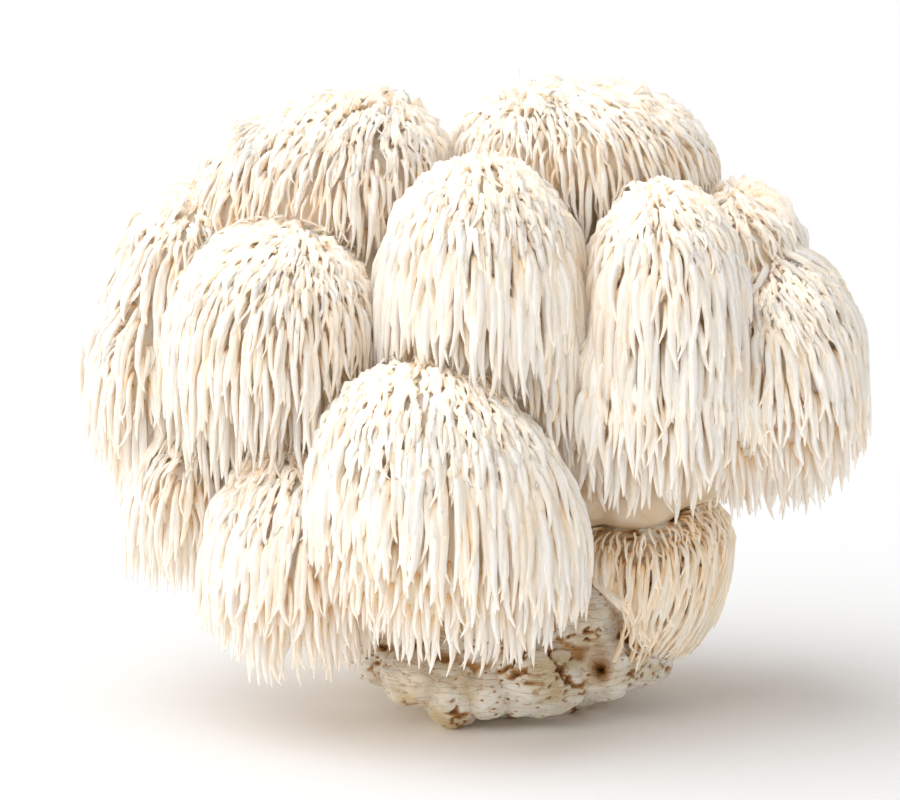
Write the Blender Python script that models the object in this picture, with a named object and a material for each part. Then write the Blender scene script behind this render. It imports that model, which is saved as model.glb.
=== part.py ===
"""A lion's mane mushroom, cut from the wood it grew on: one fruiting body, built as one solid.

It is a cluster of shaggy heads that share one fleshy core and one lumpy foot. Each head is a
cushion of flesh, thatched all round with locks of spines that leave it outwards and then hang
straight down. The foot is bare and lumpy, and is cut off flat where it left the wood.

Metres, +Z up. The origin is under the middle of the mushroom, in the plane of the cut that it
stands on. The great low head is at the front, towards -Y.
"""

import math
import random
from dataclasses import dataclass

import bmesh
import bpy
from mathutils import Vector

MM = 0.001


@dataclass(frozen=True)
class Cushion:
    """A rounded form: where its middle is, how far it reaches each way, and its lean, all in mm.

    Lean is how far its axis moves along X for each mm upwards.
    """

    x: float
    y: float
    z: float
    half_width: float
    half_depth: float
    rise: float
    drop: float
    lean: float = 0.0


# The outside of each shaggy head, to the tips of its spines.
HEADS = {
    "front_low": Cushion(-5.5, -35.0, 40.0, 27.5, 26.0, 31.5, 26.5, -0.19),
    "front_left_low": Cushion(-33.5, -20.0, 32.0, 20.0, 24.0, 22.5, 24.0),
    "front_left": Cushion(-37.5, -12.0, 71.0, 23.5, 28.0, 23.5, 25.0),
    "front_middle": Cushion(0.5, -17.0, 81.0, 22.0, 27.0, 26.5, 28.0),
    "front_middle_low": Cushion(11.5, -14.0, 62.0, 13.0, 22.0, 16.0, 20.0),
    "front_right": Cushion(34.0, -20.0, 80.5, 17.5, 24.0, 22.5, 24.0),
    "front_right_low": Cushion(32.5, -17.0, 61.5, 21.0, 26.0, 20.5, 22.0),
    "right": Cushion(56.0, -6.0, 64.0, 18.5, 27.0, 22.5, 26.0),
    "right_low": Cushion(46.0, -11.0, 57.0, 13.5, 24.0, 13.0, 18.5),
    "right_shoulder": Cushion(51.5, 8.0, 85.0, 15.5, 25.0, 15.5, 17.0),
    "top_right": Cushion(21.0, 14.0, 102.0, 27.0, 28.0, 17.0, 19.0),
    "top_left": Cushion(-28.0, 12.0, 95.5, 26.0, 28.0, 22.0, 20.0),
    "left_shoulder": Cushion(-54.0, 8.0, 83.0, 14.5, 24.0, 15.5, 17.0),
    "left": Cushion(-61.5, 4.0, 64.5, 13.5, 24.0, 14.0, 20.0),
    "left_low": Cushion(-55.0, 0.0, 43.5, 14.0, 24.0, 14.5, 18.5),
    "skirt": Cushion(31.5, 0.0, 31.5, 18.0, 26.0, 15.0, 23.5),
    "back_left": Cushion(-42.0, 33.0, 62.0, 25.0, 24.0, 24.0, 25.0),
    "back_middle": Cushion(-7.0, 40.0, 72.0, 25.0, 23.0, 26.0, 27.0),
    "back_right": Cushion(30.0, 36.0, 66.0, 25.0, 24.0, 27.0, 28.0),
    "back_left_low": Cushion(-26.0, 31.0, 34.0, 24.0, 22.0, 24.0, 21.0),
    "back_right_low": Cushion(14.0, 35.0, 37.0, 23.0, 22.0, 22.0, 22.0),
    "back_far_right": Cushion(54.0, 20.0, 57.0, 18.0, 22.0, 21.0, 24.0),
    "back_top": Cushion(-4.0, 28.0, 84.0, 20.0, 20.0, 17.0, 18.0),
}

# Bare flesh: the core that carries the heads, the ledge under the right heads, and the foot.
BARE = {
    "core": Cushion(2.0, 8.0, 59.0, 48.0, 37.0, 40.0, 34.0),
    "ledge": Cushion(31.0, -14.0, 42.0, 9.5, 14.0, 8.0, 6.0),
    "foot": Cushion(6.0, 4.0, 16.0, 26.0, 25.0, 18.0, 20.0),
    "foot_lump_1": Cushion(-12.0, -16.0, 9.5, 6.5, 10.0, 5.5, 5.5),
    "foot_lump_2": Cushion(-5.0, -17.0, 7.5, 5.5, 9.0, 5.5, 8.0),
    "foot_lump_3": Cushion(2.0, -18.5, 7.0, 4.5, 8.0, 4.5, 5.0),
    "foot_lump_4": Cushion(10.5, -16.0, 9.5, 10.0, 11.0, 7.5, 8.0),
    "foot_lump_5": Cushion(23.0, -10.0, 10.5, 8.5, 12.0, 7.0, 7.0),
    "foot_lump_6": Cushion(29.5, -4.0, 12.0, 7.5, 12.0, 6.0, 7.0),
    "foot_lump_7": Cushion(28.0, 10.0, 13.0, 8.5, 10.0, 7.0, 8.0),
    "foot_lump_8": Cushion(18.0, 22.0, 10.5, 10.0, 9.0, 7.0, 8.0),
    "foot_lump_9": Cushion(1.0, 25.0, 10.0, 10.0, 8.0, 6.0, 8.0),
    "foot_lump_10": Cushion(-13.0, 17.0, 11.0, 9.0, 9.0, 7.0, 8.0),
    "foot_lump_11": Cushion(-17.0, 1.0, 10.5, 7.0, 10.0, 6.0, 7.0),
}

# Pits sunk into the foot: round hollows of these sizes in mm.
PITS = (
    Cushion(22.5, -22.0, 11.0, 1.6, 4.0, 1.6, 1.6),
    Cushion(13.0, -27.5, 9.0, 3.0, 3.0, 1.2, 1.2),
    Cushion(2.0, -27.5, 12.5, 3.0, 3.0, 1.5, 1.5),
    Cushion(-15.0, -26.0, 11.5, 2.0, 3.0, 1.2, 1.2),
)

# The spines hang in locks, and the locks in tiers, like thatch. Sizes in mm: how far apart the
# locks of a tier are, how far apart the tiers are down a head's side, and how long a lock is from
# its notch to its tip.
LOCK_SPACING = 11.5
TIER_SPACING = 16.0
LOCK_LENGTH = 15.0

# How far inside a head's outside, in mm, a lock's middle is, the notch beside it, the flesh tucked
# in under it, the dips of the crown, the tips of the topmost locks, and the flesh underneath.
BELLY_DEPTH = 0.3
NOTCH_DEPTH = 2.2
TUCK_DEPTH = 4.8
CROWN_DEPTH = 1.2
TOP_TIP_DEPTH = 1.3
UNDERSIDE_DEPTH = 7.0

# Where a head's crown ring, its first notches and its last tips are, in degrees down from its top,
# and the most that a lock covers.
CROWN_ANGLE = 13.0
FIRST_NOTCHES = 28.0
LAST_TIPS = 150.0
MOST_COVERED = 32.0

# How uneven the locks are, as shares of their own length and spacing.
LENGTH_SPREAD = 0.25
TURN_SPREAD = 0.18
HEM_SPREAD = 0.2
SEED = 7
SAME_POINT = 1e-6

# The forms are fused through a fine grid of this size in mm, then thinned to about this many
# facets. Edges are smooth where the facets turn less than this many degrees.
GRID = 0.8
TRIANGLES = 9500
SMOOTH_BELOW = 35.0

# Facets round and down a bare cushion and a pit, and the size in mm of the box that cuts the foot.
CUSHION_SEGMENTS = 24
CUSHION_RINGS = 14
PIT_SEGMENTS = 8
PIT_RINGS = 5
CUTTER_SIZE = 400.0

# Creamy white.
COLOUR = (0.78, 0.66, 0.46, 1.0)
ROUGHNESS = 0.55


def at_angles(cushion, polar, turn, inset):
    """The point in mm this far down from a cushion's top and round it, and this far inside."""
    tall = cushion.rise if polar < math.pi / 2.0 else cushion.drop
    across = math.sin(polar)
    up = (tall - inset) * math.cos(polar)
    return Vector(
        (
            cushion.x + (cushion.half_width - inset) * across * math.cos(turn) + cushion.lean * up,
            cushion.y + (cushion.half_depth - inset) * across * math.sin(turn),
            cushion.z + up,
        )
    )


def ball(segments, rings):
    """A unit ball, and each of its points with its ring from the top and its place round it."""
    bm = bmesh.new()
    bmesh.ops.create_uvsphere(bm, u_segments=segments, v_segments=rings, radius=1.0)
    placed = []
    for vertex in bm.verts:
        ring = round(math.acos(max(-1.0, min(1.0, vertex.co.z))) / math.pi * rings)
        turn = math.atan2(vertex.co.y, vertex.co.x) / math.tau * segments
        placed.append((vertex, ring, round(turn) % segments))
    return bm, placed


def smooth_cushion(cushion, segments=CUSHION_SEGMENTS, rings=CUSHION_RINGS):
    """A smooth closed cushion, as a bmesh."""
    bm, placed = ball(segments, rings)
    for vertex, ring, place in placed:
        polar = math.pi * ring / rings
        turn = math.tau * place / segments
        vertex.co = at_angles(cushion, polar, turn, 0.0) * MM
    return bm


def shaggy_head(head, chance):
    """A head thatched with tiers of hanging locks: each tier's tips lie over the next one's roots.

    Down each meridian come the crown, then three rings for each tier: where its locks part, where
    they end, and the flesh tucked in under them. Every other meridian of a tier has a lock, and
    those of the next tier hang between them.
    """
    wide = (head.half_width + head.half_depth) / 2.0
    tall = (head.rise + head.drop) / 2.0
    radius = (wide + tall) / 2.0
    locks = round(math.tau * wide / LOCK_SPACING)
    reach = min(LOCK_LENGTH / radius, math.radians(MOST_COVERED))
    first = math.radians(FIRST_NOTCHES)
    last = math.radians(LAST_TIPS) - reach
    tiers = 1 + max(1, round((last - first) * radius / TIER_SPACING))
    segments = 2 * locks
    rings = 3 * tiers + 2
    bm, placed = ball(segments, rings)
    turns = [chance.uniform(-TURN_SPREAD, TURN_SPREAD) for _ in range(segments)]
    hem = [chance.uniform(-HEM_SPREAD, HEM_SPREAD) for _ in range(segments * tiers)]
    for vertex, ring, place in sorted(placed, key=lambda item: item[1:]):
        turn = math.tau * (place + turns[place]) / segments
        uneven = 1.0 + chance.uniform(-LENGTH_SPREAD, LENGTH_SPREAD)
        tier, level = divmod(ring - 2, 3)
        parting = first + (last - first) * tier / (tiers - 1)
        if 0 < tier < tiers:
            parting += hem[tier * segments + place] * reach
        if ring == 0:
            polar, inset = 0.0, CROWN_DEPTH
        elif ring == 1:
            polar, inset = math.radians(CROWN_ANGLE), CROWN_DEPTH * (place % 2)
        elif ring == rings:
            polar, inset = math.pi, UNDERSIDE_DEPTH
        elif level == 2:
            polar, inset = parting, TUCK_DEPTH
        elif (place + tier) % 2 == 1:
            polar, inset = parting, NOTCH_DEPTH
        elif level == 0:
            polar, inset = parting, BELLY_DEPTH
        else:
            polar, inset = parting + reach * uneven, TOP_TIP_DEPTH * (tier == 0)
        vertex.co = at_angles(head, polar, turn, inset) * MM
    bmesh.ops.remove_doubles(bm, verts=bm.verts, dist=SAME_POINT)
    return bm


def add_object(name, pieces):
    """Puts bmeshes in the scene as one object."""
    joined = bmesh.new()
    for piece in pieces:
        mesh = bpy.data.meshes.new("piece")
        piece.to_mesh(mesh)
        piece.free()
        joined.from_mesh(mesh)
        bpy.data.meshes.remove(mesh)
    mesh = bpy.data.meshes.new(name)
    joined.to_mesh(mesh)
    joined.free()
    made = bpy.data.objects.new(name, mesh)
    bpy.context.scene.collection.objects.link(made)
    return made


def add_cutter():
    """The cut and the pits: a box whose top face is the plane of the cut, and a ball for each pit."""
    box = bmesh.new()
    bmesh.ops.create_cube(box, size=CUTTER_SIZE * MM)
    bmesh.ops.translate(box, verts=box.verts, vec=(0.0, 0.0, -CUTTER_SIZE * MM / 2.0))
    pits = [smooth_cushion(pit, PIT_SEGMENTS, PIT_RINGS) for pit in PITS]
    cutter = add_object("cutter", [box] + pits)
    cutter.hide_render = True
    cutter.display_type = "WIRE"
    return cutter


def apply_modifiers(made):
    """Makes an object's mesh what its modifiers show."""
    graph = bpy.context.evaluated_depsgraph_get()
    shown = bpy.data.meshes.new_from_object(made.evaluated_get(graph))
    made.modifiers.clear()
    made.data = shown


def keep_largest(made):
    """Keeps the outside skin alone: a crumb or a closed pocket that the fusing left goes."""
    bm = bmesh.new()
    bm.from_mesh(made.data)
    left = set(bm.verts)
    islands = []
    while left:
        front = [left.pop()]
        island = set(front)
        while front:
            for edge in front.pop().link_edges:
                for vertex in edge.verts:
                    if vertex in left:
                        left.discard(vertex)
                        island.add(vertex)
                        front.append(vertex)
        islands.append(island)
    largest = max(islands, key=len)
    spare = [vertex for vertex in bm.verts if vertex not in largest]
    bmesh.ops.delete(bm, geom=spare, context="VERTS")
    bm.to_mesh(made.data)
    bm.free()


def fuse(made):
    """Fuses an object's overlapping forms into one skin."""
    grid = made.modifiers.new("fuse", "REMESH")
    grid.mode = "VOXEL"
    grid.voxel_size = GRID * MM
    apply_modifiers(made)
    keep_largest(made)


def thin(made):
    """Thins a fine skin to flat facets."""
    facets = made.modifiers.new("thin", "DECIMATE")
    facets.ratio = TRIANGLES / sum(len(face.vertices) - 2 for face in made.data.polygons)
    apply_modifiers(made)


def cut(made, cutter):
    """Takes a cutter from an object, with the exact solver."""
    boolean = made.modifiers.new("cut", "BOOLEAN")
    boolean.operation = "DIFFERENCE"
    boolean.solver = "EXACT"
    boolean.object = cutter
    apply_modifiers(made)


def give_material(made):
    """Creamy spines and flesh, faintly moist."""
    material = bpy.data.materials.new("mushroom_flesh")
    material.use_nodes = True
    shader = material.node_tree.nodes["Principled BSDF"]
    shader.inputs["Base Color"].default_value = COLOUR
    shader.inputs["Roughness"].default_value = ROUGHNESS
    shader.inputs["Metallic"].default_value = 0.0
    made.data.materials.clear()
    made.data.materials.append(material)


def add_fruiting_body():
    """The whole mushroom: shaggy heads on a core and foot, fused and cut off flat."""
    chance = random.Random(SEED)
    pieces = [shaggy_head(head, chance) for head in HEADS.values()]
    pieces += [smooth_cushion(cushion) for cushion in BARE.values()]
    body = add_object("fruiting_body", pieces)
    fuse(body)
    thin(body)
    cut(body, add_cutter())
    body.data.polygons.foreach_set("use_smooth", [True] * len(body.data.polygons))
    body.data.set_sharp_from_angle(angle=math.radians(SMOOTH_BELOW))
    give_material(body)
    return body


def clear_scene():
    """Removes whatever the scene started with."""
    for made in list(bpy.data.objects):
        bpy.data.objects.remove(made)


def main():
    """Builds the mushroom."""
    clear_scene()
    add_fruiting_body()


main()
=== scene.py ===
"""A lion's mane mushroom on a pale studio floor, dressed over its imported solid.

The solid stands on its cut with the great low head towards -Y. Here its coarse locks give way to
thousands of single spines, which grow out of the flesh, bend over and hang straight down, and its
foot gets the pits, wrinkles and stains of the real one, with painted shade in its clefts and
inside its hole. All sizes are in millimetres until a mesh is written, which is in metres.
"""

import logging
import math
from dataclasses import dataclass, field, replace
from enum import Enum

import bmesh
import bpy
import numpy as np
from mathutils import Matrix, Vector, noise

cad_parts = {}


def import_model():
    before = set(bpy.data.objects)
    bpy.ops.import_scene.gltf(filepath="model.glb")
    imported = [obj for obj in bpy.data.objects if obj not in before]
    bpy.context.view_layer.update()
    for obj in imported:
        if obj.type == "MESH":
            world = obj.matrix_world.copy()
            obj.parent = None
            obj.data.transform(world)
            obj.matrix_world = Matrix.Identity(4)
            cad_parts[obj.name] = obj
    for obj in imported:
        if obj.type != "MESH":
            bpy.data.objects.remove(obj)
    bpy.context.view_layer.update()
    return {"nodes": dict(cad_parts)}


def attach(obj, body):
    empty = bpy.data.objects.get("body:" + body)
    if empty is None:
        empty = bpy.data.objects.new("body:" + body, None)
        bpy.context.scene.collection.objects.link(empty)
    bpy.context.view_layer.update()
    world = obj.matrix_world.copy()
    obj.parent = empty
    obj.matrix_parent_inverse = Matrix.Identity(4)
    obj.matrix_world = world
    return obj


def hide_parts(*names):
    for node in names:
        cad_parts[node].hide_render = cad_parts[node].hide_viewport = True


MM = 0.001
GOLDEN_ANGLE = math.pi * (3.0 - math.sqrt(5.0))
DOWN = np.array((0.0, 0.0, -1.0))
NODE = "fruiting_body"
BODY = "root"

# Blender's noise vectors start from the clock unless they are given a seed.
NOISE_SEED = 5

log = logging.getLogger("lions_mane")


def unit(vectors: np.ndarray) -> np.ndarray:
    """Scales vectors to length one.

    Args:
        vectors: vectors along the last axis.

    Returns:
        The same directions, each one long.
    """
    lengths = np.linalg.norm(vectors, axis=-1, keepdims=True)
    return vectors / np.maximum(lengths, 1e-9)


def dot(one: np.ndarray, other: np.ndarray) -> np.ndarray:
    """Dot products along the last axis, which is kept.

    Args:
        one: vectors along the last axis.
        other: vectors along the last axis.

    Returns:
        Their dot products, with a last axis of one.
    """
    return (one * other).sum(axis=-1, keepdims=True)


def wander(points: np.ndarray, scale: float, offset: float) -> np.ndarray:
    """Smooth wandering vectors that neighbours share.

    Args:
        points: places in mm, one a row.
        scale: how far apart in mm the vectors stop being alike.
        offset: moves the pattern, so that two uses differ.

    Returns:
        One vector for each place, each part between about -1 and 1.
    """
    shift = Vector((offset, 2.0 * offset, 3.0 * offset))
    moved = [noise.noise_vector(Vector(place) / scale + shift) for place in points]
    return np.array(moved).reshape(-1, 3)


def per_metre(size: float) -> float:
    """How many repeats of a pattern fit in a metre, where one is this many mm."""
    return 1.0 / (size * MM)


def stand(name: str, data: bpy.types.ID) -> bpy.types.Object:
    """Puts a mesh, camera or light into the scene, at the origin and unturned.

    Args:
        name: the object's name.
        data: what it shows.

    Returns:
        The object.
    """
    made = bpy.data.objects.new(name, data)
    bpy.context.scene.collection.objects.link(made)
    return made


def settle(made: bpy.types.Object) -> None:
    """Makes the mesh that an object's modifiers give its own, and clears them."""
    graph = bpy.context.evaluated_depsgraph_get()
    made.data = bpy.data.meshes.new_from_object(made.evaluated_get(graph))
    made.modifiers.clear()
    made.data.name = made.name


def cut(bm: bmesh.types.BMesh, height: float, up: float = 1.0, clear: bool = False) -> None:
    """Cuts a mesh level.

    Args:
        bm: the mesh.
        height: where it is cut, in its own units.
        up: one where the outer side is above, minus one where it is below.
        clear: whether the outer side goes.
    """
    bmesh.ops.bisect_plane(
        bm,
        geom=bm.verts[:] + bm.edges[:] + bm.faces[:],
        plane_co=(0.0, 0.0, height),
        plane_no=(0.0, 0.0, up),
        clear_outer=clear,
    )


@dataclass(frozen=True)
class Lobe:
    """A rounded form: its middle, how far it reaches each way, and its lean.

    Lean is how far its axis moves along X for each mm upwards.
    """

    x: float
    y: float
    z: float
    half_width: float
    half_depth: float
    rise: float
    drop: float
    lean: float = 0.0

    def shrunk(self, side: float, crown: float, under: float) -> "Lobe":
        """The same form with a layer taken off.

        Args:
            side: how much comes off at its sides.
            crown: how much comes off its top.
            under: how much comes off underneath.

        Returns:
            The smaller form.
        """
        return replace(
            self,
            half_width=self.half_width - side,
            half_depth=self.half_depth - side,
            rise=self.rise - crown,
            drop=self.drop - under,
        )

    def reach(self, above: np.ndarray) -> np.ndarray:
        """How far the form reaches each way, for points above or below its middle.

        Args:
            above: true for each point above the middle.

        Returns:
            Three reaches for each point.
        """
        tall = np.where(above, self.rise, self.drop)
        wide = np.full_like(tall, self.half_width)
        deep = np.full_like(tall, self.half_depth)
        return np.stack((wide, deep, tall), axis=-1)

    def surface(self, directions: np.ndarray) -> tuple[np.ndarray, np.ndarray]:
        """The form's surface in these directions from its middle.

        Args:
            directions: unit vectors, one a row.

        Returns:
            The points, and the way out of the form at each.
        """
        reach = self.reach(directions[:, 2] > 0.0)
        offset = directions * reach
        offset[:, 0] += self.lean * offset[:, 2]
        middle = np.array((self.x, self.y, self.z))
        return middle + offset, unit(directions / reach)

    def height(self, points: np.ndarray) -> tuple[np.ndarray, np.ndarray]:
        """How far points stand off the form.

        Args:
            points: places, one a row.

        Returns:
            The heights, less than nothing inside, and the way out of the form at each.
        """
        offset = points - np.array((self.x, self.y, self.z))
        offset[:, 0] -= self.lean * offset[:, 2]
        reach = self.reach(offset[:, 2] > 0.0)
        scaled = offset / reach
        share = np.maximum(np.linalg.norm(scaled, axis=1), 1e-6)
        heights = (share - 1.0) * np.linalg.norm(offset, axis=1) / share
        return heights, unit(scaled / reach)

    def area(self) -> float:
        """About how much surface the form has, in square mm, by Thomsen's formula."""
        power = 1.6
        tall = (self.rise + self.drop) / 2.0
        pairs = (
            self.half_width * self.half_depth,
            self.half_width * tall,
            self.half_depth * tall,
        )
        return 4.0 * math.pi * (sum(pair**power for pair in pairs) / 3.0) ** (1.0 / power)


HEADS: dict[str, Lobe] = {
    "front_low": Lobe(-5.5, -35.0, 40.0, 27.5, 26.0, 31.5, 26.5, -0.19),
    "front_left_low": Lobe(-33.5, -20.0, 32.0, 20.0, 24.0, 22.5, 24.0),
    "front_left": Lobe(-37.5, -12.0, 71.0, 23.5, 28.0, 23.5, 25.0),
    "front_middle": Lobe(0.5, -17.0, 81.0, 22.0, 27.0, 26.5, 28.0),
    "front_middle_low": Lobe(11.5, -14.0, 62.0, 13.0, 22.0, 16.0, 20.0),
    "front_right": Lobe(34.0, -20.0, 80.5, 17.5, 24.0, 22.5, 24.0),
    "front_right_low": Lobe(32.5, -17.0, 61.5, 21.0, 26.0, 20.5, 22.0),
    "right": Lobe(56.0, -6.0, 64.0, 18.5, 27.0, 22.5, 26.0),
    "right_upper": Lobe(58.0, -3.0, 72.0, 15.0, 23.0, 15.5, 15.0),
    "right_low": Lobe(46.0, -11.0, 57.0, 13.5, 24.0, 13.0, 18.5),
    "right_shoulder": Lobe(50.0, 8.0, 85.0, 14.5, 25.0, 15.5, 17.0),
    "top_right": Lobe(21.0, 14.0, 102.0, 27.0, 28.0, 17.0, 19.0),
    "top_right_inner": Lobe(8.5, 14.0, 103.0, 16.5, 24.0, 15.0, 18.0),
    "top_left": Lobe(-28.0, 12.0, 95.5, 26.0, 28.0, 22.0, 20.0),
    "top_left_inner": Lobe(-18.0, 12.0, 97.0, 17.0, 24.0, 19.5, 18.0),
    "top_left_outer": Lobe(-43.0, 10.0, 92.0, 15.0, 22.0, 20.0, 18.0),
    "left_shoulder": Lobe(-55.5, 8.0, 83.0, 15.5, 24.0, 16.0, 17.0),
    "left_upper": Lobe(-61.0, 6.0, 73.0, 13.5, 22.0, 15.0, 14.0),
    "left": Lobe(-63.0, 4.0, 64.5, 13.5, 24.0, 15.0, 20.0),
    "left_low": Lobe(-55.0, 0.0, 43.5, 14.0, 24.0, 14.5, 19.5),
    "skirt": Lobe(31.5, 0.0, 31.5, 18.0, 26.0, 15.0, 23.5),
    "back_left": Lobe(-42.0, 33.0, 62.0, 25.0, 24.0, 24.0, 25.0),
    "back_middle": Lobe(-7.0, 40.0, 72.0, 25.0, 23.0, 26.0, 27.0),
    "back_right": Lobe(30.0, 36.0, 66.0, 25.0, 24.0, 27.0, 28.0),
    "back_left_low": Lobe(-26.0, 31.0, 34.0, 24.0, 22.0, 24.0, 21.0),
    "back_right_low": Lobe(14.0, 35.0, 37.0, 23.0, 22.0, 22.0, 22.0),
    "back_far_right": Lobe(54.0, 20.0, 57.0, 18.0, 22.0, 21.0, 24.0),
    "back_top": Lobe(-4.0, 28.0, 84.0, 20.0, 20.0, 17.0, 18.0),
}

# Upper spines run on over these heads, and end in the parting above all others.
RUN_ON = {
    "front_right_low",
    "front_middle_low",
    "right_low",
    "right_upper",
    "top_right_inner",
    "top_left_inner",
    "top_left_outer",
    "left_upper",
    "left",
    "left_low",
    "back_left_low",
    "back_right_low",
    "back_far_right",
}

# How many mm lower than their own head some spines end, where another head is below.
HANG_LOW = {
    "front_left": 5.0,
    "front_middle": 4.0,
    "front_right": 4.0,
    "front_right_low": 2.5,
    "top_left": 4.0,
    "top_right": 4.0,
    "left_shoulder": 4.0,
    "left_upper": 3.0,
    "left": 3.0,
    "left_low": 4.0,
    "right": 0.8,
    "right_upper": 0.8,
    "right_shoulder": 4.0,
    "back_left": 4.0,
    "back_middle": 4.0,
    "back_right": 4.0,
}

# How much lower than their own head spines end elsewhere, and how much higher the shortest end.
EVEN_FRINGE = 0.4
RAGGED_FRINGE = 1.8

# Where a fringe climbs to the right: from this x, at this height, so many mm up for each mm.
CLIMBS = {"front_low": (8.0, 16.0, 0.9)}

# The foot's side has spines only to the right of this x. The line is ragged by so many mm, and
# below this height it slants outwards.
APRON = Lobe(23.0, 0.0, 19.0, 16.0, 23.0, 14.0, 14.5)
APRON_FROM = 26.0
APRON_RAGGED = 1.2
APRON_KNEE = 22.0
APRON_SLANT = 0.35

CORE = Lobe(2.0, 8.0, 59.0, 48.0, 37.0, 40.0, 34.0)
LEDGE = Lobe(29.0, -12.0, 43.0, 9.5, 13.5, 7.0, 6.5)
LEDGES = (
    LEDGE,
    Lobe(38.0, -9.0, 46.0, 8.5, 12.0, 6.0, 5.5),
    Lobe(20.0, -9.0, 43.5, 8.0, 14.0, 6.0, 7.0),
)

FOOT: dict[str, Lobe] = {
    "middle": Lobe(6.0, 4.0, 16.0, 26.0, 25.0, 18.0, 20.0),
    "lump_1": Lobe(-12.0, -16.0, 9.5, 6.5, 10.0, 5.5, 5.5),
    "lump_2": Lobe(-5.0, -17.0, 7.5, 5.5, 9.0, 5.5, 8.0),
    "lump_3": Lobe(2.0, -18.5, 7.0, 4.5, 8.0, 4.5, 5.0),
    "lump_4": Lobe(10.5, -16.0, 9.5, 10.0, 11.0, 7.5, 8.0),
    "lump_5": Lobe(23.0, -10.0, 10.5, 8.5, 12.0, 7.0, 7.0),
    "lump_6": Lobe(29.5, -4.0, 12.0, 7.5, 12.0, 6.0, 7.0),
    "lump_7": Lobe(28.0, 10.0, 13.0, 8.5, 10.0, 7.0, 8.0),
    "lump_8": Lobe(18.0, 22.0, 10.5, 10.0, 9.0, 7.0, 8.0),
    "lump_9": Lobe(1.0, 25.0, 10.0, 10.0, 8.0, 6.0, 8.0),
    "lump_10": Lobe(-13.0, 17.0, 11.0, 9.0, 9.0, 7.0, 8.0),
    "lump_11": Lobe(-17.0, 1.0, 10.5, 7.0, 10.0, 6.0, 7.0),
    "neck": Lobe(19.0, -8.5, 20.5, 10.0, 12.0, 9.0, 10.0),
}


@dataclass(frozen=True)
class Habit:
    """How the spines of a head grow.

    Attributes:
        spacing: mm between neighbouring roots on the crown.
        shares: how many of those roots there are by height on the head, from -1 to 1.
        thickness: the thickest that a spine is, in mm.
        crown_thickness: the same on the crown.
        length: how long a spine on a head's side is, in mm.
        crown_length: how long one on its crown is, in mm.
        stand_off: how far from the flesh the tips hang at the sides.
        crown_stand_off: how far from it they lie on the crown.
        fringe: how much lower than the flesh the lowest tips hang.
        curl: how much a crown spine winds, in mm.
        wave: how much one on the side winds, in mm.
        clump: how far tips draw together, in mm.
        stray: how much a spine on the side starts out its own way.
        crown_stray: the same on the crown.
        full_length: a spine this long is as thick as it gets; shorter ones are thinner.
        thinnest: how much of that thickness the shortest have.
        cling: how much of the way back to the flesh a spine that leaves it is drawn each step.
        sweep: a pull sideways, besides the weight.
    """

    spacing: float = 2.1
    shares: tuple[tuple[float, float], ...] = (
        (-1.0, 0.4),
        (-0.5, 0.45),
        (0.0, 0.55),
        (0.4, 1.0),
        (0.6, 1.4),
        (0.8, 1.0),
        (0.9, 0.1),
    )
    thickness: float = 2.0
    crown_thickness: float = 1.4
    length: float = 24.0
    crown_length: float = 8.0
    stand_off: float = 4.8
    crown_stand_off: float = 2.3
    fringe: float = 10.0
    curl: float = 0.45
    wave: float = 0.25
    clump: float = 0.8
    stray: float = 0.1
    crown_stray: float = 0.25
    full_length: float = 15.0
    thinnest: float = 0.5
    cling: float = 0.0
    sweep: tuple[float, float, float] = (0.0, 0.0, 0.0)


FINE_HABIT = Habit(spacing=1.95, thickness=1.6, crown_thickness=1.25, length=18.0)

CROWN_HABIT = Habit(
    spacing=1.38,
    shares=((-1.0, 0.0), (0.4, 0.0), (0.6, 0.55), (0.8, 1.0)),
    thickness=1.3,
    crown_thickness=1.15,
    length=9.0,
    crown_length=7.0,
    curl=0.25,
    wave=0.2,
    clump=0.5,
    stray=0.15,
    crown_stray=0.25,
    full_length=6.0,
    thinnest=0.7,
)

TIER_HABIT = Habit(
    spacing=1.6,
    shares=((-1.0, 0.6), (0.0, 0.7), (0.5, 1.0)),
    thickness=1.35,
    crown_thickness=1.2,
    length=14.0,
    crown_length=9.0,
    stand_off=3.0,
    crown_stand_off=3.0,
    fringe=3.0,
    curl=0.45,
    wave=0.35,
    clump=0.9,
    stray=0.15,
    crown_stray=0.25,
    cling=0.6,
    sweep=(-0.12, -0.03, 0.0),
)


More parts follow.
